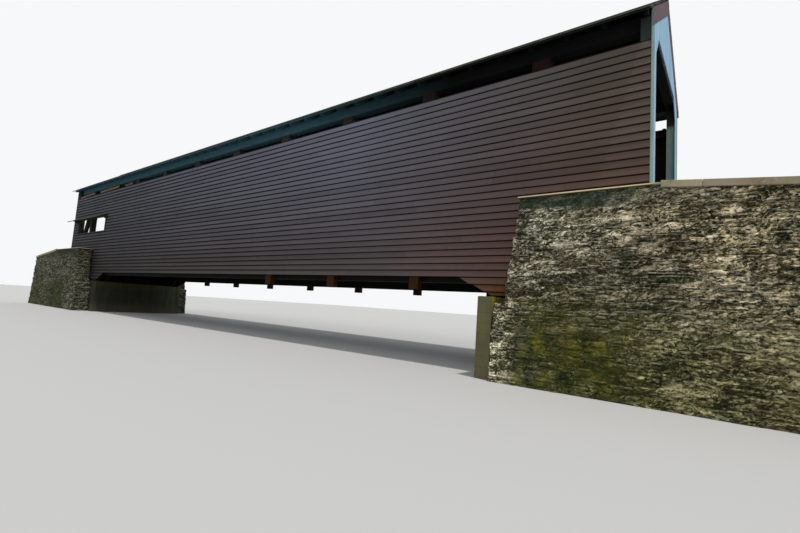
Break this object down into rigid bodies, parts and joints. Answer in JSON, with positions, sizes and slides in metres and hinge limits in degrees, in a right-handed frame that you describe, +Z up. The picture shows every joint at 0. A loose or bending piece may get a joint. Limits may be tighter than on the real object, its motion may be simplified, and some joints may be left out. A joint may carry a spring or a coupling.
{
  "type": "timber covered bridge",
  "caption": "One-lane covered timber bridge: arched trusses behind lapped side boards, gable roof, boarded portals, rubble stone abutments with wing walls.",
  "frame": {"origin": "bottom centre of the whole bridge: midspan, on the centre line, at the foot of the masonry", "axes": "+X along the bridge to the right-hand portal of the picture, +Y across it away from the picture's camera, +Z up"},
  "size_m": [39.23, 6.08, 8.8449],
  "materials": {
    "rubble_stone": "rough rubble with mortar and moss",
    "coping_stone": "weathered",
    "concrete": "cast concrete, stained",
    "side_boards": "weathered red-brown paint",
    "white_boards": "white paint",
    "shingles": "weathered shingles with moss",
    "deck_planks": "worn planks",
    "timber": "sawn, aged"
  },
  "bodies": {
    "root": {"back_arches": "timber", "back_braces": "timber", "back_corner_posts": "timber", "back_hood": "shingles", "back_lower_chord": "timber", "back_posts": "timber", "back_rafters": "timber", "back_roof": "shingles", "back_siding": "side_boards", "back_upper_chord": "timber", "back_wall_frame": "timber", "back_window_frame": "timber", "bed_timbers": "timber", "deck": "deck_planks", "floor_beams": "timber", "floor_joists": "timber", "front_arches": "timber", "front_braces": "timber", "front_corner_posts": "timber", "front_hood": "shingles", "front_lower_chord": "timber", "front_posts": "timber", "front_rafters": "timber", "front_roof": "shingles", "front_siding": "side_boards", "front_upper_chord": "timber", "front_wall_frame": "timber", "front_window_frame": "timber", "knee_braces": "timber", "left_abutment": "rubble_stone", "left_back_coping": "coping_stone", "left_back_wing": "rubble_stone", "left_facing": "concrete", "left_front_coping": "coping_stone", "left_front_wing": "rubble_stone", "left_portal": "white_boards", "ridge_cap": "shingles", "right_abutment": "rubble_stone", "right_back_coping": "coping_stone", "right_back_wing": "rubble_stone", "right_facing": "concrete", "right_front_coping": "coping_stone", "right_front_wing": "rubble_stone", "right_portal": "white_boards", "tie_beams": "timber"}
  },
  "joints": []
}
